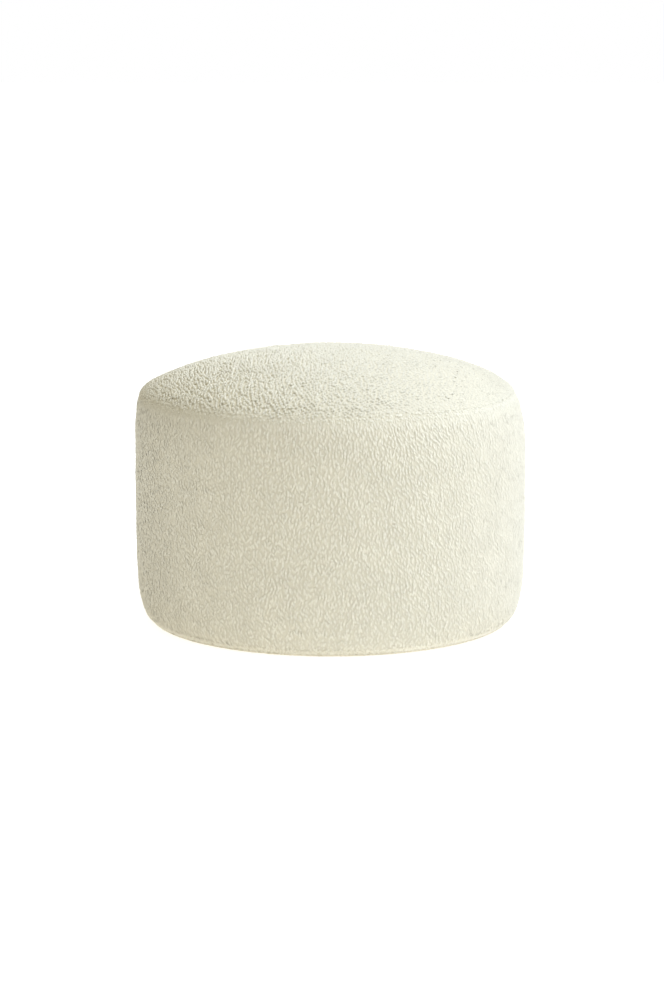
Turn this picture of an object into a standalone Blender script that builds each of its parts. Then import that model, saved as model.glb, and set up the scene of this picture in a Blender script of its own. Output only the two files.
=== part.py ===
"""A round pouf in cream curly pile cloth: a crowned top, one side panel and a base.

Units are metres and +Z is up. The origin is on the floor, under the middle of the pouf,
and -Y is its front. Each panel is a filled solid whose surface is the tips of the pile.
"""

import math

import bpy

# Driving dimensions
BELLY_RADIUS = 0.285          # the side at its widest
TOTAL_HEIGHT = 0.400          # floor to the top of the crown
FOOT_RADIUS = 0.230           # flat part of the base
BELLY_HEIGHT = 0.200          # where the side is widest
UPPER_SEAM_HEIGHT = 0.3325
UPPER_SEAM_RADIUS = 0.2760    # before the seam draws it in
LOWER_SEAM_HEIGHT = 0.0080

# Form of the filled cloth
LOWER_ROLL_POWER = 4.8        # a higher power makes the roll at the floor tighter
UPPER_TAPER_POWER = 4.0       # a higher power keeps the side upright for longer
CROWN_POWER = 1.47            # a higher power makes the shoulder fuller

# Seams: two panels' edges turn in to meet, a little apart
PANEL_GAP = 0.0003
UPPER_SEAM_DEPTH = 0.0040
UPPER_SEAM_SPREAD = 0.0050
LOWER_SEAM_DEPTH = 0.0020
LOWER_SEAM_SPREAD = 0.0025
SEAM_POWER = 1.5              # a higher power makes the groove flatter at its bottom
SEAM_REACH = 2.2              # how many spreads from the seam the cloth is still drawn in

# The shoulder stands out further at -X and is slacker at +X
SHOULDER_LEAN = 0.0045
LEAN_POWER = 4.0
LEAN_FADES_FROM = 0.20        # shares of the crown's rise
LEAN_FADES_TO = 0.48

# Fineness of the turned shapes
TURN_STEPS = 72
SEAM_STEPS = 5
SIDE_STEPS = 13
CROWN_STEPS = 12
BASE_STEPS = 5
CROWDING = 1.4                # a higher value crowds the rings closer to a seam or the floor
MERGE_DISTANCE = 0.00005

# Cloth
CREAM = (0.720, 0.675, 0.545, 1.0)
BASE_CREAM = (0.640, 0.590, 0.465, 1.0)
PILE_ROUGHNESS = 0.95


def clear_scene():
    for thing in list(bpy.data.objects):
        bpy.data.objects.remove(thing, do_unlink=True)


def new_collection(name):
    collection = bpy.data.collections.new(name)
    bpy.context.scene.collection.children.link(collection)
    return collection


def cloth_material(name, colour):
    material = bpy.data.materials.new(name)
    material.use_nodes = True
    material.diffuse_color = colour
    shader = material.node_tree.nodes["Principled BSDF"]
    shader.inputs["Base Color"].default_value = colour
    shader.inputs["Roughness"].default_value = PILE_ROUGHNESS
    shader.inputs["Metallic"].default_value = 0.0
    return material


def smooth_step(value):
    value = min(max(value, 0.0), 1.0)
    return value * value * (3.0 - 2.0 * value)


def crowded(start, end, steps):
    """Values from start to end, closest together at the start."""
    return [start + (end - start) * (step / steps) ** CROWDING for step in range(steps + 1)]


def side_climb(height):
    """How far a height is from the belly up to the upper seam, from 0 to 1."""
    return (height - BELLY_HEIGHT) / (UPPER_SEAM_HEIGHT - BELLY_HEIGHT)


def crown_rise(height):
    """How far a height is from the upper seam up to the top of the crown, from 0 to 1."""
    return (height - UPPER_SEAM_HEIGHT) / (TOTAL_HEIGHT - UPPER_SEAM_HEIGHT)


def side_radius(height):
    """The side before its seams: a roll from the floor out to the belly, then a late taper."""
    if height < BELLY_HEIGHT:
        drop = 1.0 - height / BELLY_HEIGHT
        swell = (1.0 - drop ** LOWER_ROLL_POWER) ** (1.0 / LOWER_ROLL_POWER)
        return FOOT_RADIUS + (BELLY_RADIUS - FOOT_RADIUS) * swell
    taper = side_climb(height) ** UPPER_TAPER_POWER
    return BELLY_RADIUS - (BELLY_RADIUS - UPPER_SEAM_RADIUS) * taper


def crown_point(angle):
    """The crown before its seam, as radius and height: 0 is the seam and a quarter turn the top."""
    rise = math.sin(angle) ** (2.0 / CROWN_POWER)
    height = UPPER_SEAM_HEIGHT + (TOTAL_HEIGHT - UPPER_SEAM_HEIGHT) * rise
    return UPPER_SEAM_RADIUS * math.cos(angle), height


def crown_angle(height):
    """The angle at which the crown reaches a height."""
    return math.asin(crown_rise(height) ** (CROWN_POWER / 2.0))


def seam_pull(height, seam_height, depth, spread):
    """How far a seam draws the cloth in at a height."""
    distance = abs(height - seam_height) / spread
    return depth * math.exp(-distance ** SEAM_POWER)


def drawn_in(radius, height):
    """A point of the outline, drawn in by both seams."""
    radius -= seam_pull(height, UPPER_SEAM_HEIGHT, UPPER_SEAM_DEPTH, UPPER_SEAM_SPREAD)
    radius -= seam_pull(height, LOWER_SEAM_HEIGHT, LOWER_SEAM_DEPTH, LOWER_SEAM_SPREAD)
    return radius, height


def side_point(height):
    return drawn_in(side_radius(height), height)


def top_outline():
    """From the top of the crown down to the rim, and in along the flat underside."""
    edge = UPPER_SEAM_HEIGHT + PANEL_GAP / 2.0
    rim_end = edge + SEAM_REACH * UPPER_SEAM_SPREAD
    rim = [crown_angle(height) for height in crowded(edge, rim_end, SEAM_STEPS)]
    crown_span = math.pi / 2.0 - rim[-1]
    crown = [rim[-1] + crown_span * step / CROWN_STEPS for step in range(CROWN_STEPS, 0, -1)]
    outline = [drawn_in(*crown_point(angle)) for angle in crown + rim[::-1]]
    return outline + [(0.0, edge)]


def side_outline():
    """From the flat top out to the rim, down the side, round the lower roll and in again."""
    upper_edge = UPPER_SEAM_HEIGHT - PANEL_GAP / 2.0
    upper_end = upper_edge - SEAM_REACH * UPPER_SEAM_SPREAD
    lower_edge = LOWER_SEAM_HEIGHT + PANEL_GAP / 2.0
    lower_end = lower_edge + SEAM_REACH * LOWER_SEAM_SPREAD
    heights = crowded(upper_edge, upper_end, SEAM_STEPS)
    heights += crowded(lower_end, upper_end, SIDE_STEPS)[-2:0:-1]
    heights += crowded(lower_edge, lower_end, SEAM_STEPS)[::-1]
    outline = [side_point(height) for height in heights]
    return [(0.0, upper_edge)] + outline + [(0.0, lower_edge)]


def base_outline():
    """From the flat top out to the lower seam, round the roll and in along the flat foot."""
    edge = LOWER_SEAM_HEIGHT - PANEL_GAP / 2.0
    outline = [side_point(height) for height in crowded(0.0, edge, BASE_STEPS)[:0:-1]]
    return [(0.0, edge)] + outline + [(FOOT_RADIUS, 0.0), (0.0, 0.0)]


def lean_share(height):
    """How much of the shoulder's lean a height takes, from 0 to 1."""
    if height <= BELLY_HEIGHT:
        return 0.0
    if height <= UPPER_SEAM_HEIGHT:
        return side_climb(height) ** LEAN_POWER
    fade = (crown_rise(height) - LEAN_FADES_FROM) / (LEAN_FADES_TO - LEAN_FADES_FROM)
    return 1.0 - smooth_step(fade)


def add_turn(panel):
    """Turns the outline once about Z."""
    turn = panel.modifiers.new("Turn", "SCREW")
    turn.axis = "Z"
    turn.steps = TURN_STEPS
    turn.render_steps = TURN_STEPS
    turn.use_merge_vertices = True
    turn.merge_threshold = MERGE_DISTANCE
    turn.use_smooth_shade = True


def add_lean(panel, outline):
    """Moves each ring towards -X by its share of the shoulder's lean."""
    shares = panel.vertex_groups.new(name="lean")
    for index, (_, height) in enumerate(outline):
        shares.add([index], lean_share(height), "REPLACE")
    lean = panel.modifiers.new("Lean", "DISPLACE")
    lean.direction = "X"
    lean.mid_level = 0.0
    lean.strength = -SHOULDER_LEAN
    lean.vertex_group = shares.name


def add_panel(name, outline, colour, collection):
    """A filled panel, turned from an outline that runs from the axis down to the axis."""
    mesh = bpy.data.meshes.new(name)
    edges = [(index, index + 1) for index in range(len(outline) - 1)]
    mesh.from_pydata([(radius, 0.0, height) for radius, height in outline], edges, [])
    mesh.materials.append(cloth_material(name + "_pile", colour))
    panel = bpy.data.objects.new(name, mesh)
    collection.objects.link(panel)
    add_turn(panel)
    add_lean(panel, outline)


def main():
    clear_scene()
    pouf = new_collection("round_pouf")
    add_panel("top_panel", top_outline(), CREAM, pouf)
    add_panel("side_panel", side_outline(), CREAM, pouf)
    add_panel("bottom_panel", base_outline(), BASE_CREAM, pouf)


main()
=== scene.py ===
"""Looks of the round pouf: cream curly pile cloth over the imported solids.

Each panel has a soft ground cloth that follows its solid, a pile's depth inside it, and a closed
ring of cloth fills the groove of each seam. Thousands of short woolly curls lie on them and reach
the solid's surface. Units are metres, +Z is up and -Y is the front.
"""

import math

import bpy
import numpy as np
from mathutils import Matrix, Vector, noise

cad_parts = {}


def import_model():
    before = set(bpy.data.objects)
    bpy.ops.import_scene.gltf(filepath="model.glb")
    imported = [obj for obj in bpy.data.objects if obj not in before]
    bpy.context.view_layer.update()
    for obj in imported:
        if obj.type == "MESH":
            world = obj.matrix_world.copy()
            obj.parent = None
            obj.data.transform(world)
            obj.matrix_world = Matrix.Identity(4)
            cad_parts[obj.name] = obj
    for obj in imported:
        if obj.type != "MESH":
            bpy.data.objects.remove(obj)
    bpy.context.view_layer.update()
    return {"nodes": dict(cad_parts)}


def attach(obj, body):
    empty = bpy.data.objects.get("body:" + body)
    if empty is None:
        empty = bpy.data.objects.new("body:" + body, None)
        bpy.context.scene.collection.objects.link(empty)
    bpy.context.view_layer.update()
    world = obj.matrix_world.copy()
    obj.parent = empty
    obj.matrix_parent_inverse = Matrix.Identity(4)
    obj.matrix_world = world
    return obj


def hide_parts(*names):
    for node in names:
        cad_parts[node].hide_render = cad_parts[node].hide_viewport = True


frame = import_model()

# Panels, from the lowest up, and the heights of the two seams between them
PANELS = ("bottom_panel", "side_panel", "top_panel")
LOWER_SEAM = min(corner[2] for corner in frame["nodes"]["side_panel"].bound_box)
UPPER_SEAM = max(corner[2] for corner in frame["nodes"]["side_panel"].bound_box)
HEM_HEIGHT = 0.0022           # where the pile ends, on the roll of the base

# Outline: lengths are measured along the cloth, from the lowest ring up
RING_DIGITS = 5               # points whose heights agree to this many decimals are one ring
OUTLINE_STEP = 0.0008
CORNER_BLUR = 0.006
SEAM_FILL = 0.013             # the groove of the upper seam is filled this far on both sides
SEAM_FILL_POWER = 4           # a higher power ends the filled part more suddenly
SEAM_FILL_BLUR = 0.026
SLACK_BLUR = 0.060            # the loose fibres' shading bends over this length at the seams
AREA_STEPS = 2000
GOLDEN_ANGLE = math.pi * (3.0 - math.sqrt(5.0))

# Ground cloth: each piece's name, the node that it replaces and its rings
GROUNDS = (
    ("top_ground", "top_panel", 44),
    ("side_ground", "side_panel", 76),
    ("base_ground", "bottom_panel", 14),
)
GROUND_TURNS = 120
LUMP_RISE = 0.0005
LUMP_SIZE = 0.045
LUMP_SEED = 3.0
PATCH_STEPS = (7.31, 3.17, 5.71)  # how far apart the patches of two neighbouring seeds are
PATCH_GAIN = 1.6              # brings the noise to about -1 to 1

# Turned-in cloth that fills each seam's groove under the pile
SEAM_BAND_REACH = 0.009
LOWER_BAND_REACH = 0.006
SEAM_BAND_DEPTH = 0.003
SEAM_BAND_ROWS = 7

# Piles. length, width and height are ranges, and height is a share of the pile's depth.
# flat is the thickness as a share of the width, and jitter a share of the curls' spacing.
# spread and slant are in radians: how far directions differ, and how far they turn at +X.
# stand is how steeply the curls stand up, wave how far they sway and hang how much higher they
# are at the upper seam. rings and sides are the fineness of a curl. The seam key is how much it
# takes of the wear and the painted shade beside the upper seam. softness is how far its shading
# turns to the cloth's, and left_softness is the same at -X.
SIDE_PILE = {                 # short curls that hang down, pressed nearly flat
    "name": "side_curls", "count": 25500, "pieces": 4, "flat": 0.52, "jitter": 0.42,
    "length": (0.0060, 0.0105), "width": (0.0030, 0.0042), "height": (0.48, 0.98),
    "spread": 0.34, "stand": 0.0, "wave": 0.0006, "rings": 3, "sides": 4,
    "softness": 0.60, "left_softness": 0.80, "slant": 0.30, "wear_and_shade": 0.25, "hang": 0.0,
    "seed": 11,
}
TOP_PILE = {                  # thicker nubs that stand half up and lean towards +X
    "name": "top_curls", "count": 9800, "pieces": 2, "flat": 0.92, "jitter": 0.36,
    "length": (0.0058, 0.0084), "width": (0.0034, 0.0045), "height": (0.55, 1.03),
    "spread": 0.60, "stand": 1.5, "wave": 0.0003, "rings": 3, "sides": 5,
    "softness": 0.42, "left_softness": 0.16, "slant": 0.0, "wear_and_shade": 1.0, "hang": 1.1,
    "seed": 23,
}

# Depth of the pile: from the solid's surface in to the ground cloth
SIDE_DEPTH = 0.0020
TOP_DEPTH = 0.0050
DEPTH_BLEND = 0.016           # the length above the upper seam over which the depth grows
SEAM_PRESS = 0.40             # share of the depth that is lost at the upper seam
SEAM_REACH = 0.007
SEAM_OVERLAP = 0.003          # the top's pile falls this far over the seam
LOWEST_CURL = 0.0008          # the floor presses the curls flat a little above it

# Rows of curls across the upper seam, and over the lower seam and the hem
SEAM_ROW = 720
HEM_ROW = 600                 # also the row over the lower seam
ROW_JITTER = 0.3              # share of the spacing in the row
SEAM_SCATTER = 0.0018         # how far the curls of a row stray from it
LOWER_SEAM_SCATTER = 0.0010
HEM_SCATTER = 0.0008

# Directions: patches of curls turn together, and each strays a little by itself
DRIFT_SIZE = 0.022
DRIFT_SHARE = 0.6
STRAY_SHARE = 0.5
STEADIEST = 0.35              # the least share of this that is left beside the upper seam
SLANT_FULL = 0.5              # share of the radius towards +X where the pile slants fully
STAND_STRAY = 0.25
STAND_MOST = 1.3
LEAST_WAY = 1e-6              # keeps a direction where the cloth faces straight towards +X

# Sizes and shape of single curls
CLUMP_SIZE = 0.009            # curls in a clump are about as high as each other
CLUMP_SHARE = 0.5
OWN_SHARE = 0.6
BODY_END = 0.68               # the outer rings' place, as a share of the half length
BODY_TAPER = 0.90
DIP_SHARE = 0.9               # share of its height that the ends of a lying curl go down
DIP_DEPTH = 0.0006            # and how much further they go
WAVE_SHARE = (0.4, 1.4)
WAVE_TURNS = (1.4, 2.6)       # radians of the wave from the middle of a curl to its end

# The pile calms towards +X: where this starts and is full, as shares of the radius,
# and how much of its depth is left there
SIDE_CALM = (0.45, 1.00, 0.75)
TOP_CALM = (-0.38, 0.85, 0.36)
CALM_SOFTNESS = 0.90
CALM_PAINTED_SHADE = 0.45             # painted shade: share of the paler tips taken off where the pile is calm, towards the lit +X side
LEFT_SOFTNESS = (0.30, 0.80)  # shares of the radius towards -X where left_softness starts and is full

# Beside the upper seam the curls lose some of their paler tips: partly wear where the pile is thin,
# and partly painted shade, which grows towards -X, away from the lights. The share that is lost and how
# far from the seam, first elsewhere and then at -X
WEAR_AND_SHADE_SHARE = (0.20, 0.85)
WEAR_AND_SHADE_REACH = (0.010, 0.058)
WEAR_AND_SHADE_FROM = 0.30              # shares of the radius towards -X
WEAR_AND_SHADE_FULL = 0.80
WEAR_AND_SHADE_SOFTNESS = 0.6           # share of a calm curl's softening that one in the seam's wear and painted shade gets

# Colour and finish of the cloth
# Painted shade: the curls darken from the tip colour to the root colour towards the ground cloth, as if
# in the shade between them
ROOT_SHADE_COLOUR = (0.65, 0.60, 0.46, 1.0)
TIP_COLOUR = (0.81, 0.775, 0.65, 1.0)
TONE_BRIGHTNESS = (0.93, 1.05)
TONE_SIZE = 0.035
TONE_PATCH = 0.20
TONE_STRAY = 0.15
TONE_RANGE = (0.02, 0.98)
GROUND_SHADE_TIP = 0.15             # painted shade: the ground cloth between the curls is nearly as dark as the roots' painted shade
GROUND_TONE = 0.5
ROUGHNESS = 0.92
SPECULAR = 0.18
SHEEN_WEIGHT = 0.12
SHEEN_ROUGHNESS = 0.55
SHEEN_TINT = (1.0, 1.0, 0.98, 1.0)
FIBRE_SIZE = 0.0009
FIBRE_DETAIL = 3.0
FIBRE_STRENGTH = 0.30
MAP_MARGIN = 0.02

# Floor and surround
WHITE = (1.0, 1.0, 1.0, 1.0)
FLOOR_REACH = 25.0
FLOOR_COLOUR = (0.84, 0.84, 0.84, 1.0)
FLOOR_ROUGHNESS = 0.9
FLOOR_SPECULAR = 0.2
FLOOR_GLOW = 0.61             # the floor is lit from inside, so that it stays white
# Brightness of the surround at places from -X to +X
SURROUND = ((-0.85, 0.0), (-0.42, 0.40), (0.10, 0.46), (0.55, 0.0))
SURROUND_TINT = (1.0, 0.97, 0.85)
OVERHEAD = 1.8                # how much brighter the surround is straight above

# Soft boxes: name, azimuth from the front towards +X in degrees, and power in watts
LIGHTS = (("key_light", 94.0, 69.0), ("front_light", 60.0, 57.0))
LIGHT_ELEVATION = math.radians(50.0)
LIGHT_DISTANCE = 3.2
LIGHT_SIZE = 1.6
LIGHT_AIM = (0.0, 0.0, 0.2)
LIGHT_COLOUR = (0.74, 0.83, 1.0)

# Camera, as fitted to the outline in the photo: it stands at a distance and elevation from a
# point above the origin, and looks at the target
CAMERA_DISTANCE = 3.99
CAMERA_ELEVATION = math.radians(10.03)
CAMERA_PIVOT_HEIGHT = 0.205
CAMERA_TARGET = (0.0022, 0.0, 0.1733)
CAMERA_LENS = 98.2            # millimetres, as the sensor's width
CAMERA_SENSOR = 36.0
CAMERA_NEAR = 0.1
CAMERA_FAR = 60.0


def unit(vectors):
    return vectors / np.linalg.norm(vectors, axis=-1, keepdims=True)


def patchy(points, size, seed):
    """Smooth random values, about -1 to 1, that change over a distance of size."""
    offset = Vector([seed * step for step in PATCH_STEPS])
    return np.array([noise.noise(Vector(point) / size + offset) for point in points]) * PATCH_GAIN


def panel_rings(nodes):
    """Radius, lean towards +X and height of each ring of some panels, from the lowest up."""
    rings = {}
    for node in nodes:
        for vertex in frame["nodes"][node].data.vertices:
            rings.setdefault(round(vertex.co.z, RING_DIGITS), []).append(vertex.co.x)
    heights = sorted(rings)
    most = np.array([max(rings[height]) for height in heights])
    least = np.array([min(rings[height]) for height in heights])
    return (most - least) / 2.0, (most + least) / 2.0, np.array(heights)


def blurred(values, blur):
    """Rounds off corners over a length, and keeps both ends."""
    kernel = np.hanning(2 * round(blur / OUTLINE_STEP / 2.0) + 3)[1:-1]
    kernel /= kernel.sum()
    pad = len(kernel) // 2
    before = 2 * values[0] - values[pad:0:-1]
    after = 2 * values[-1] - values[-2:-pad - 2:-1]
    return np.convolve(np.concatenate([before, values, after]), kernel, "valid")


class Outline:
    """The outline of the ground cloth of some panels, by length along the cloth."""

    def __init__(self, nodes, filled_seam=False):
        radius, lean, height = panel_rings(nodes)
        self.floor, self.ceiling = height[0], height[-1]
        length = np.concatenate([[0.0], np.cumsum(np.hypot(np.diff(radius), np.diff(height)))])
        self.along = np.arange(0.0, length[-1], OUTLINE_STEP)
        even = (np.interp(self.along, length, part) for part in (radius, lean, height))
        self.radius, self.lean, self.height = (blurred(part, CORNER_BLUR) for part in even)
        self.seam = self.length_at(UPPER_SEAM)
        self.lower_seam = self.length_at(LOWER_SEAM)
        self.hem = self.length_at(HEM_HEIGHT)
        if filled_seam:
            self.fill_seam()
        self.set_in()
        self.widest = self.radius.max()

    def length_at(self, height):
        return float(np.interp(height, self.height, self.along))

    def fill_seam(self):
        """Makes the groove of the upper seam shallower, as the pile on both sides covers it."""
        share = np.exp(-((self.along - self.seam) / SEAM_FILL) ** SEAM_FILL_POWER)
        self.radius += share * (blurred(self.radius, SEAM_FILL_BLUR) - self.radius)

    def set_in(self):
        """Moves the outline from the solid's surface in to the ground cloth."""
        out, up = self.normals()
        inset = self.depth(self.along) * self.press(self.along)
        self.radius = np.maximum(self.radius - inset * out, 0.0)
        height = self.height - inset * np.maximum(up, 0.0)
        self.height = np.clip(height, self.floor, self.ceiling)

    def normals(self):
        """Outward normal in the plane of the outline, as radial and upward parts."""
        outward = np.gradient(self.radius, self.along)
        upward = np.gradient(self.height, self.along)
        size = np.hypot(outward, upward)
        return upward / size, -outward / size

    def topness(self, along):
        """From 0 below the upper seam to 1 where the top's pile has its full depth."""
        share = np.clip((along - self.seam) / DEPTH_BLEND, 0.0, 1.0)
        return share * share * (3.0 - 2.0 * share)

    def depth(self, along):
        """Depth of the pile before it is pressed, at a length along the outline."""
        return SIDE_DEPTH + (TOP_DEPTH - SIDE_DEPTH) * self.topness(along)

    def press(self, along, calm=0.0):
        """How much of the pile's depth there is: less where the upper seam presses it."""
        distance = (along - self.seam) / SEAM_REACH
        return 1.0 - SEAM_PRESS * (1.0 - calm) * np.exp(-distance ** 2)

    def calm(self, along, x):
        """How calm the pile is, from 0 to 1, and the share of its depth that this takes."""
        share = self.topness(along)
        start, full, left = (low + (high - low) * share for low, high in zip(SIDE_CALM, TOP_CALM))
        calm = np.clip((x / self.widest - start) / (full - start), 0.0, 1.0)
        return calm, (1.0 - left) * calm

    def wear_and_shade(self, along, x):
        """How much of the curls' paler tips is lost at a place beside the upper seam: partly wear,
        partly painted shade that grows towards -X.
        """
        left = np.clip((-x / self.widest - WEAR_AND_SHADE_FROM) / (WEAR_AND_SHADE_FULL - WEAR_AND_SHADE_FROM), 0.0, 1.0)
        share, reach = (low + (high - low) * left for low, high in (WEAR_AND_SHADE_SHARE, WEAR_AND_SHADE_REACH))
        return share * np.exp(-((along - self.seam) / reach) ** 2)

    def at(self, along, angle):
        """Places, outward normals and upward tangents at lengths along the outline and angles."""
        parts = (self.radius, self.height, self.lean, *self.normals())
        radius, height, lean, out, up = (np.interp(along, self.along, part) for part in parts)
        c, s = np.cos(angle), np.sin(angle)
        place = np.stack([lean + radius * c, radius * s, height], -1)
        normal = unit(np.stack([out * c, out * s, up], -1))
        tangent = unit(np.stack([-up * c, -up * s, out], -1))
        _, taken = self.calm(along, place[:, 0])
        raised = self.lumps(along, place) + self.depth(along) * self.press(along) * taken
        return place + normal * raised[:, None], normal, tangent

    def lumps(self, along, place):
        """Shallow lumps of the filling, which fade out at the upper seam and at the floor."""
        from_seam = np.clip(np.abs(along - self.seam) / LUMP_SIZE, 0.0, 1.0)
        from_floor = np.clip(place[:, 2] / LUMP_SIZE, 0.0, 1.0)
        return LUMP_RISE * patchy(place, LUMP_SIZE, LUMP_SEED) * (from_seam * from_floor)

    def slack_normals(self, along, angle):
        """Outward normals of the cloth with its bends at the seams eased over a greater length."""
        eased = (blurred(part, SLACK_BLUR) for part in self.normals())
        out, up = (np.interp(along, self.along, part) for part in eased)
        return unit(np.stack([out * np.cos(angle), out * np.sin(angle), up], -1))

    def spread(self, count, low, high, jitter, rng):
        """Even places between two lengths by the golden angle, a little disturbed."""
        along = np.linspace(low, high, AREA_STEPS)
        radius = np.interp(along, self.along, self.radius)
        strips = (radius[1:] + radius[:-1]) / 2.0 * np.diff(along)
        area = np.concatenate([[0.0], np.cumsum(strips)])
        share = (np.arange(count) + 0.5) / count
        spacing = math.sqrt(2.0 * math.pi * area[-1] / count)
        along = np.interp(share * area[-1], area, along)
        along = along + spacing * jitter * rng.uniform(-1.0, 1.0, count)
        radius = np.maximum(np.interp(along, self.along, self.radius), spacing)
        turned = spacing * jitter * rng.uniform(-1.0, 1.0, count) / radius
        return np.clip(along, self.along[0], self.along[-1]), np.arange(count) * GOLDEN_ANGLE + turned


def mesh_from(name, points, quads, triangles, material):
    """A smooth mesh object from arrays of points, four-cornered and three-cornered faces."""
    mesh = bpy.data.meshes.new(name)
    loops = np.concatenate([quads.ravel(), triangles.ravel()]).astype(np.int32)
    sizes = np.concatenate([np.full(len(quads), 4), np.full(len(triangles), 3)])
    starts = np.concatenate([[0], np.cumsum(sizes)[:-1]]).astype(np.int32)
    mesh.vertices.add(len(points))
    mesh.loops.add(len(loops))
    mesh.polygons.add(len(sizes))
    mesh.vertices.foreach_set("co", points.astype(np.float32).ravel())
    mesh.loops.foreach_set("vertex_index", loops)
    mesh.polygons.foreach_set("loop_start", starts)
    mesh.update(calc_edges=True)
    mesh.validate()
    mesh.shade_smooth()
    mesh.materials.append(material)
    piece = bpy.data.objects.new(name, mesh)
    bpy.context.scene.collection.objects.link(piece)
    return piece


def soften(mesh, cloth_normals, softness):
    """Turns the shading of each point part of the way to the cloth's, as loose fibres do."""
    own = np.zeros(len(mesh.vertices) * 3, np.float32)
    mesh.vertex_normals.foreach_get("vector", own)
    mixed = own.reshape(-1, 3) * (1.0 - softness) + cloth_normals * softness
    mesh.normals_split_custom_set_from_vertices(unit(mixed).astype(np.float32).tolist())


def give(mesh, name, values):
    """Stores one number for each point."""
    layer = mesh.attributes.new(name, "FLOAT", "POINT")
    layer.data.foreach_set("value", values.astype(np.float32))


def give_plain(mesh):
    """Gives the cloth under the pile one even colour, nearly the pile's painted root shade."""
    count = len(mesh.vertices)
    give(mesh, "tip", np.full(count, GROUND_SHADE_TIP))
    give(mesh, "tone", np.full(count, GROUND_TONE))


def give_map(mesh, u, v):
    """Stores a place in the flat map for each point."""
    layer = mesh.uv_layers.new(name="OFBake")
    index = np.zeros(len(mesh.loops), np.int32)
    mesh.loops.foreach_get("vertex_index", index)
    layer.uv.foreach_set("vector", np.stack([u, v], -1)[index].astype(np.float32).ravel())


def ring_grid(along):
    """Lengths and angles of the points of some rings, ring by ring."""
    angle = np.arange(GROUND_TURNS) * 2.0 * math.pi / GROUND_TURNS
    grid_along, grid_angle = np.meshgrid(along, angle, indexing="ij")
    return grid_along.ravel(), grid_angle.ravel()


def ground(name, node, rings, material):
    """The ground cloth of one panel, closed by a point in the middle of each end."""
    outline = Outline([node])
    along = np.linspace(outline.along[0], outline.along[-1], rings)
    place = outline.at(*ring_grid(along))[0]
    place[:, 2] = np.clip(place[:, 2], outline.floor, outline.ceiling)
    index = np.arange(rings * GROUND_TURNS).reshape(rings, GROUND_TURNS)
    after = np.roll(index, -1, axis=1)
    quads = np.stack([index[:-1], after[:-1], after[1:], index[1:]], -1).reshape(-1, 4)
    low, high = np.full(GROUND_TURNS, len(place)), np.full(GROUND_TURNS, len(place) + 1)
    under = np.stack([low, after[0], index[0]], -1)
    over = np.stack([high, index[-1], after[-1]], -1)
    ends = [(outline.lean[0], 0.0, place[0, 2]), (outline.lean[-1], 0.0, place[-1, 2])]
    points = np.concatenate([place, ends])
    return mesh_from(name, points, quads, np.concatenate([under, over]), material)


def seam_band(name, outline, middle, reach, material):
    """The cloth that turns in at a seam: a closed ring that fills the groove under the pile."""
    along = np.linspace(middle - reach, middle + reach, SEAM_BAND_ROWS)
    place, normal, _ = outline.at(*ring_grid(along))
    outer = place.reshape(SEAM_BAND_ROWS, GROUND_TURNS, 3)
    inner = (place - normal * SEAM_BAND_DEPTH).reshape(SEAM_BAND_ROWS, GROUND_TURNS, 3)
    points = np.concatenate([outer, inner[::-1]])
    index = np.arange(len(points) * GROUND_TURNS).reshape(-1, GROUND_TURNS)
    after, above = np.roll(index, -1, axis=1), np.roll(index, -1, axis=0)
    quads = np.stack([index, after, np.roll(after, -1, axis=0), above], -1).reshape(-1, 4)
    return mesh_from(name, points.reshape(-1, 3), quads, np.zeros((0, 3), int), material)


def sow(pile, outline, above_seam, rng):
    """Lengths along the outline and angles round the pouf at which the curls of a pile sit."""
    low, high = outline.hem, outline.seam
    if above_seam:
        low, high = outline.seam - SEAM_OVERLAP, outline.along[-1]
    along, angle = outline.spread(pile["count"], low, high, pile["jitter"], rng)
    if above_seam:
        return along, angle
    rows = (
        (outline.seam, SEAM_ROW, SEAM_SCATTER),
        (outline.lower_seam, HEM_ROW, LOWER_SEAM_SCATTER),
        (outline.hem, HEM_ROW, HEM_SCATTER),
    )
    for middle, count, scatter in rows:
        row = np.arange(count) + rng.uniform(-ROW_JITTER, ROW_JITTER, count)
        angle = np.concatenate([angle, row * 2.0 * math.pi / count])
        along = np.concatenate([along, middle + rng.uniform(-scatter, scatter, count)])
    return along, angle


class Sites:
    """Where the curls of a pile sit, and what the cloth and the pile are like there."""

    def __init__(self, pile, outline, along, angle):
        self.count = len(along)
        self.angle = angle
        self.place, self.normal, self.upward = outline.at(along, angle)
        self.slack = outline.slack_normals(along, angle)
        self.sideways = self.place[:, 0] / outline.widest
        self.depth = outline.depth(along)
        self.calm, self.taken = outline.calm(along, self.place[:, 0])
        self.press = outline.press(along, self.calm)
        # wear and painted shade beside the upper seam, taken off the paler tips
        self.wear_and_shade = outline.wear_and_shade(along, self.place[:, 0]) * (1.0 - self.calm) * pile["wear_and_shade"]
        self.by_seam = np.exp(-((along - outline.seam) / SEAM_REACH) ** 2)

    def brushed(self):
        """The way along the cloth that leads towards +X."""
        return unit(np.array([1.0, 0.0, 0.0]) - self.normal * self.normal[:, :1] + LEAST_WAY)


def directions(pile, sites, comb, rng):
    """The way each curl points: combed, turned by patches and by chance, and stood up."""
    drift = patchy(sites.place, DRIFT_SIZE, pile["seed"]) * pile["spread"] * DRIFT_SHARE
    heading = drift + rng.normal(0.0, pile["spread"] * STRAY_SHARE, sites.count)
    heading += pile["slant"] * np.clip(sites.sideways / SLANT_FULL, 0.0, 1.0)
    free = (sites.press - 1.0 + SEAM_PRESS) / SEAM_PRESS
    heading = heading * np.clip(free, STEADIEST, 1.0)
    across = np.cross(sites.normal, comb)
    lying = comb * np.cos(heading)[:, None] + across * np.sin(heading)[:, None]
    stand = np.clip(rng.normal(1.0, STAND_STRAY, sites.count), 0.0, STAND_MOST)
    stand = pile["stand"] * stand * sites.press
    return unit(lying + sites.normal * stand[:, None])


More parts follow.
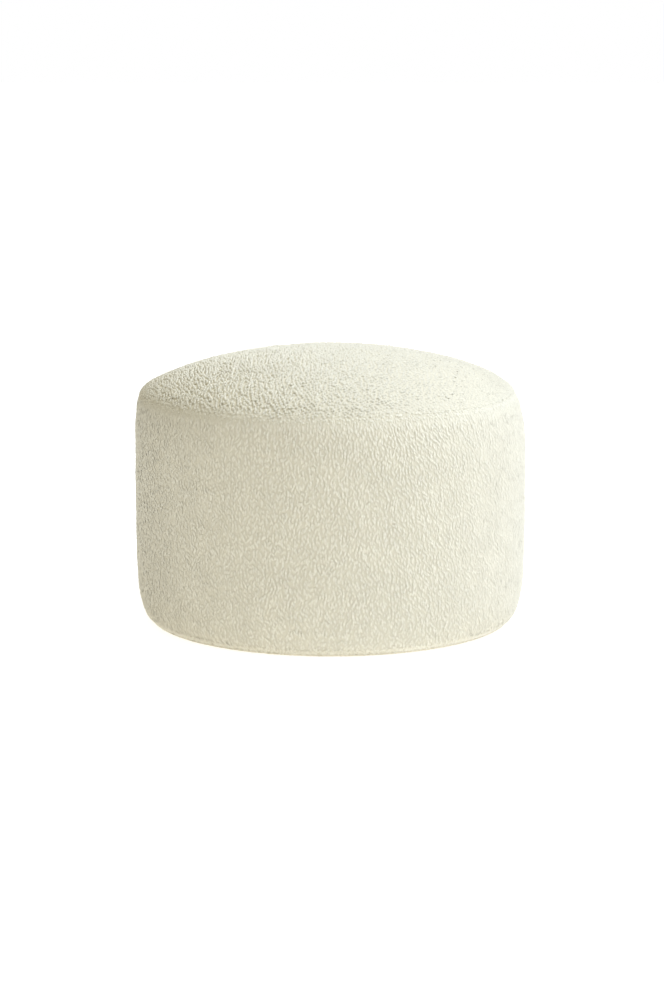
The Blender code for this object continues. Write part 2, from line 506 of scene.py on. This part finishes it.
def heights(pile, sites, rng):
    """How high each curl reaches above the ground cloth."""
    low, high = pile["height"]
    clump = 0.5 + 0.5 * patchy(sites.place, CLUMP_SIZE, pile["seed"] + 1.0)
    share = np.clip(CLUMP_SHARE * clump + OWN_SHARE * rng.random(sites.count), 0.0, 1.0)
    height = sites.depth * sites.press * (low + (high - low) * share)
    height *= 1.0 - sites.taken
    return height * (1.0 + pile["hang"] * (1.0 - sites.calm) * sites.by_seam)


def sways(pile, count, station, rng):
    """How far the middle line of each curl waves sideways at its stations."""
    wave = pile["wave"] * rng.uniform(*WAVE_SHARE, count)
    phase = rng.uniform(0.0, 2.0 * math.pi, count)
    turns = rng.uniform(*WAVE_TURNS, count)
    return wave[:, None] * np.sin(phase[:, None] + turns[:, None] * station)


def lifts(sites, direction, length, thick, height, station):
    """How high the middle line of each curl is at its stations: a lying curl's ends dip."""
    upright = np.einsum("nc,nc->n", direction, sites.normal)
    reach = np.hypot(length / 2.0 * upright, thick / 2.0 * np.sqrt(1.0 - upright ** 2))
    dip = (1.0 - upright)[:, None] * station ** 2
    return (height - reach)[:, None] * (1.0 - DIP_SHARE * dip) - DIP_DEPTH * dip


def sections(sides, across, outward, width, thick):
    """Corners of each curl's cross-section where it is thickest, from its middle line."""
    turn = math.pi / 2.0 + np.arange(sides) * 2.0 * math.pi / sides
    sideways = np.cos(turn)[:, None] * across[:, None, None] * width[:, None, None, None] / 2.0
    upward = np.sin(turn)[:, None] * outward[:, None, None] * thick[:, None, None, None] / 2.0
    return sideways + upward


def curl_points(pile, sites, direction, length, width, height, rng):
    """Points of a tapered curl at each site, and how high each point is above the ground cloth."""
    across = unit(np.cross(sites.normal, direction))
    thick = width * pile["flat"]
    station = np.concatenate([[-1.0], np.linspace(-BODY_END, BODY_END, pile["rings"]), [1.0]])
    forward = length[:, None] / 2.0 * station
    sway = sways(pile, sites.count, station, rng)
    lift = lifts(sites, direction, length, thick, height, station)
    spine = (sites.place[:, None] + direction[:, None] * forward[..., None]
             + across[:, None] * sway[..., None] + sites.normal[:, None] * lift[..., None])
    section = sections(pile["sides"], across, np.cross(direction, across), width, thick)
    full = np.sqrt(1.0 - (BODY_TAPER * station[1:-1]) ** 2)
    body = spine[:, 1:-1, None] + section * full[:, None, None]
    points = np.concatenate([spine[:, :1], body.reshape(sites.count, -1, 3), spine[:, -1:]], 1)
    rise = np.einsum("nkc,nc->nk", points - sites.place[:, None], sites.normal)
    points[..., 2] = np.maximum(points[..., 2], LOWEST_CURL)
    return points, rise


def curl_faces(count, pile):
    """Faces of the curls: four-cornered between rings, three-cornered at both ends."""
    rings, sides = pile["rings"], pile["sides"]
    ring = 1 + np.arange(rings * sides).reshape(rings, sides)
    after = np.roll(ring, -1, axis=1)
    quads = np.stack([ring[:-1], after[:-1], after[1:], ring[1:]], -1).reshape(-1, 4)
    last = 1 + rings * sides
    start = np.stack([np.zeros(sides, int), after[0], ring[0]], -1)
    end = np.stack([np.full(sides, last), ring[-1], after[-1]], -1)
    step = (np.arange(count) * (last + 1))[:, None, None]
    quads = (quads[None] + step).reshape(-1, 4)
    triangles = (np.concatenate([start, end])[None] + step).reshape(-1, 3)
    return quads, triangles


def tones(pile, sites, rng):
    """How bright each curl's own colour is, from 0 to 1."""
    patches = TONE_PATCH * patchy(sites.place, TONE_SIZE, pile["seed"] + 2.0)
    return np.clip(0.5 + patches + rng.normal(0.0, TONE_STRAY, sites.count), *TONE_RANGE)


def tips(sites, rise):
    """How pale each point is, from 0 at the ground to 1 at the tips, as painted shade towards the
    roots; less beside the upper seam, by wear and painted shade, and where the pile is calm, by painted
    shade.
    """
    tip = np.clip(rise / (sites.depth * (1.0 - sites.taken))[:, None], 0.0, 1.0)
    return tip * ((1.0 - sites.wear_and_shade) * (1.0 - CALM_PAINTED_SHADE * sites.calm))[:, None]


def softnesses(pile, sites):
    """How far the shading of each curl is turned to the cloth's."""
    left = np.interp(-sites.sideways, LEFT_SOFTNESS, (0.0, 1.0))
    softness = pile["softness"] + (pile["left_softness"] - pile["softness"]) * left
    eased = np.maximum(sites.calm, WEAR_AND_SHADE_SOFTNESS * sites.wear_and_shade)
    return softness + (CALM_SOFTNESS - softness) * eased


def joined_curls(name, pile, points, tip, tone, slack, softness, material):
    """One piece of many curls, with their colours and their softened shading."""
    count, size = points.shape[:2]
    quads, triangles = curl_faces(count, pile)
    piece = mesh_from(name, points.reshape(-1, 3), quads, triangles, material)
    soften(piece.data, np.repeat(slack, size, axis=0), np.repeat(softness, size)[:, None])
    # tip carries the painted shade of the roots, of the upper seam and of the calm pile
    point_tip, point_tone = tip.ravel(), np.repeat(tone, size)
    give(piece.data, "tip", point_tip)
    give(piece.data, "tone", point_tone)
    give_map(piece.data, MAP_MARGIN + (1.0 - 2.0 * MAP_MARGIN) * point_tip, point_tone)
    return piece


def curls(pile, above_seam, material):
    """The curls above or below the upper seam, in several pieces by angle round the pouf."""
    rng = np.random.default_rng(pile["seed"])
    outline = Outline(PANELS, filled_seam=True)
    sites = Sites(pile, outline, *sow(pile, outline, above_seam, rng))
    comb = sites.brushed() if above_seam else sites.upward
    direction = directions(pile, sites, comb, rng)
    length = rng.uniform(*pile["length"], sites.count)
    width = rng.uniform(*pile["width"], sites.count)
    height = heights(pile, sites, rng)
    points, rise = curl_points(pile, sites, direction, length, width, height, rng)
    tone = tones(pile, sites, rng)
    parts = (points, tips(sites, rise), tone, sites.slack, softnesses(pile, sites))
    sector = (sites.angle / (2.0 * math.pi) * pile["pieces"]).astype(int) % pile["pieces"]
    made = []
    for index in range(pile["pieces"]):
        chosen = [part[sector == index] for part in parts]
        made.append(joined_curls(f"{pile['name']}_{index + 1}", pile, *chosen, material))
    return made


def cloth_colour(nodes, links):
    """The socket of the cloth's colour: darker towards the roots by painted shade, paler towards the
    tips, and brighter by each curl's tone.
    """
    tip = nodes.new("ShaderNodeAttribute")
    tip.attribute_name = "tip"
    ramp = nodes.new("ShaderNodeValToRGB")
    ramp.color_ramp.elements[0].color = ROOT_SHADE_COLOUR
    ramp.color_ramp.elements[1].color = TIP_COLOUR
    links.new(tip.outputs["Fac"], ramp.inputs["Fac"])
    tone = nodes.new("ShaderNodeAttribute")
    tone.attribute_name = "tone"
    bright = nodes.new("ShaderNodeMapRange")
    bright.inputs["To Min"].default_value = TONE_BRIGHTNESS[0]
    bright.inputs["To Max"].default_value = TONE_BRIGHTNESS[1]
    links.new(tone.outputs["Fac"], bright.inputs["Value"])
    mix = nodes.new("ShaderNodeVectorMath")
    mix.operation = "SCALE"
    links.new(ramp.outputs["Color"], mix.inputs[0])
    links.new(bright.outputs["Result"], mix.inputs["Scale"])
    return mix.outputs["Vector"]


def fibre_bump(nodes, links):
    """The socket of the fine bump of the fibres in a curl."""
    place = nodes.new("ShaderNodeTexCoord")
    fibre = nodes.new("ShaderNodeTexNoise")
    fibre.inputs["Scale"].default_value = 1.0 / FIBRE_SIZE
    fibre.inputs["Detail"].default_value = FIBRE_DETAIL
    links.new(place.outputs["Object"], fibre.inputs["Vector"])
    bump = nodes.new("ShaderNodeBump")
    bump.inputs["Strength"].default_value = FIBRE_STRENGTH
    bump.inputs["Distance"].default_value = FIBRE_SIZE
    links.new(fibre.outputs["Fac"], bump.inputs["Height"])
    return bump.outputs["Normal"]


def pile_material():
    material = bpy.data.materials.new("curly_pile")
    material.use_nodes = True
    nodes, links = material.node_tree.nodes, material.node_tree.links
    shader = nodes["Principled BSDF"]
    shader.inputs["Roughness"].default_value = ROUGHNESS
    shader.inputs["Specular IOR Level"].default_value = SPECULAR
    shader.inputs["Sheen Weight"].default_value = SHEEN_WEIGHT
    shader.inputs["Sheen Roughness"].default_value = SHEEN_ROUGHNESS
    shader.inputs["Sheen Tint"].default_value = SHEEN_TINT
    links.new(cloth_colour(nodes, links), shader.inputs["Base Color"])
    links.new(fibre_bump(nodes, links), shader.inputs["Normal"])
    return material


def floor_material():
    material = bpy.data.materials.new("studio_floor")
    material.use_nodes = True
    shader = material.node_tree.nodes["Principled BSDF"]
    shader.inputs["Base Color"].default_value = FLOOR_COLOUR
    shader.inputs["Roughness"].default_value = FLOOR_ROUGHNESS
    shader.inputs["Specular IOR Level"].default_value = FLOOR_SPECULAR
    shader.inputs["Emission Color"].default_value = WHITE
    shader.inputs["Emission Strength"].default_value = FLOOR_GLOW
    return material


def panels():
    """The ground cloths, the cloth in the seams and the pile, riding on the one body."""
    cloth = pile_material()
    for name, node, rings in GROUNDS:
        piece = ground(name, node, rings, cloth)
        give_plain(piece.data)
        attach(piece, "root")
        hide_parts(node)
    outline = Outline(PANELS, filled_seam=True)
    upper = seam_band("upper_seam_band", outline, outline.seam, SEAM_BAND_REACH, cloth)
    lower = seam_band("lower_seam_band", outline, outline.lower_seam, LOWER_BAND_REACH, cloth)
    for band in (upper, lower):
        give_plain(band.data)
        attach(band, "root")
    for piece in curls(SIDE_PILE, False, cloth) + curls(TOP_PILE, True, cloth):
        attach(piece, "root")


def aim(thing, target):
    """Turns a camera or light at its place to look at a point."""
    thing.rotation_euler = (Vector(target) - thing.location).to_track_quat("-Z", "Y").to_euler()


def camera():
    data = bpy.data.cameras.new("camera")
    data.lens = CAMERA_LENS
    data.sensor_width = CAMERA_SENSOR
    data.clip_start = CAMERA_NEAR
    data.clip_end = CAMERA_FAR
    thing = bpy.data.objects.new("camera", data)
    bpy.context.scene.collection.objects.link(thing)
    back = CAMERA_DISTANCE * math.cos(CAMERA_ELEVATION)
    up = CAMERA_PIVOT_HEIGHT + CAMERA_DISTANCE * math.sin(CAMERA_ELEVATION)
    thing.location = (0.0, -back, up)
    aim(thing, CAMERA_TARGET)
    bpy.context.scene.camera = thing


def soft_box(name, azimuth, power):
    """A square soft light aimed at the pouf."""
    data = bpy.data.lights.new(name, "AREA")
    data.shape = "SQUARE"
    data.size = LIGHT_SIZE
    data.energy = power
    data.color = LIGHT_COLOUR
    thing = bpy.data.objects.new(name, data)
    bpy.context.scene.collection.objects.link(thing)
    a, e = math.radians(azimuth), LIGHT_ELEVATION
    way = Vector((math.sin(a) * math.cos(e), -math.cos(a) * math.cos(e), math.sin(e)))
    thing.location = Vector(LIGHT_AIM) + LIGHT_DISTANCE * way
    aim(thing, LIGHT_AIM)


def surround_light(nodes, links):
    """The light of the surround: darker towards both sides and brighter overhead."""
    way = nodes.new("ShaderNodeTexCoord")
    parts = nodes.new("ShaderNodeSeparateXYZ")
    links.new(way.outputs["Generated"], parts.inputs["Vector"])
    share = nodes.new("ShaderNodeMapRange")
    share.inputs["From Min"].default_value = -1.0
    links.new(parts.outputs["X"], share.inputs["Value"])
    ramp = nodes.new("ShaderNodeValToRGB")
    most = max(level for _, level in SURROUND)
    stops = ramp.color_ramp.elements
    while len(stops) < len(SURROUND):
        stops.new(0.5)
    for stop, (place, level) in zip(stops, SURROUND):
        stop.position = (place + 1.0) / 2.0
        stop.color = [level / most * tint for tint in SURROUND_TINT] + [1.0]
    links.new(share.outputs["Result"], ramp.inputs["Fac"])
    above = nodes.new("ShaderNodeMath")
    above.operation = "MULTIPLY_ADD"
    above.inputs[1].default_value = most * OVERHEAD
    above.inputs[2].default_value = most
    links.new(parts.outputs["Z"], above.inputs[0])
    light = nodes["Background"]
    links.new(ramp.outputs["Color"], light.inputs["Color"])
    links.new(above.outputs["Value"], light.inputs["Strength"])
    return light.outputs["Background"]


def world():
    """A pale surround that lights the pouf unevenly, and a plain white backdrop to look at."""
    surround = bpy.data.worlds.new("studio")
    bpy.context.scene.world = surround
    surround.use_nodes = True
    nodes, links = surround.node_tree.nodes, surround.node_tree.links
    backdrop = nodes.new("ShaderNodeBackground")
    backdrop.inputs["Color"].default_value = WHITE
    seen = nodes.new("ShaderNodeLightPath")
    either = nodes.new("ShaderNodeMixShader")
    links.new(seen.outputs["Is Camera Ray"], either.inputs["Fac"])
    links.new(surround_light(nodes, links), either.inputs[1])
    links.new(backdrop.outputs["Background"], either.inputs[2])
    links.new(either.outputs["Shader"], nodes["World Output"].inputs["Surface"])


def studio():
    """The floor, the surround and the lights."""
    mesh = bpy.data.meshes.new("studio_floor")
    corners = [(x * FLOOR_REACH, y * FLOOR_REACH, 0.0) for x, y in ((-1, -1), (1, -1), (1, 1), (-1, 1))]
    mesh.from_pydata(corners, [], [(0, 1, 2, 3)])
    mesh.materials.append(floor_material())
    floor = bpy.data.objects.new("studio_floor", mesh)
    bpy.context.scene.collection.objects.link(floor)
    world()
    for name, azimuth, power in LIGHTS:
        soft_box(name, azimuth, power)
    bpy.context.scene.view_settings.view_transform = "Standard"


panels()
camera()
studio()
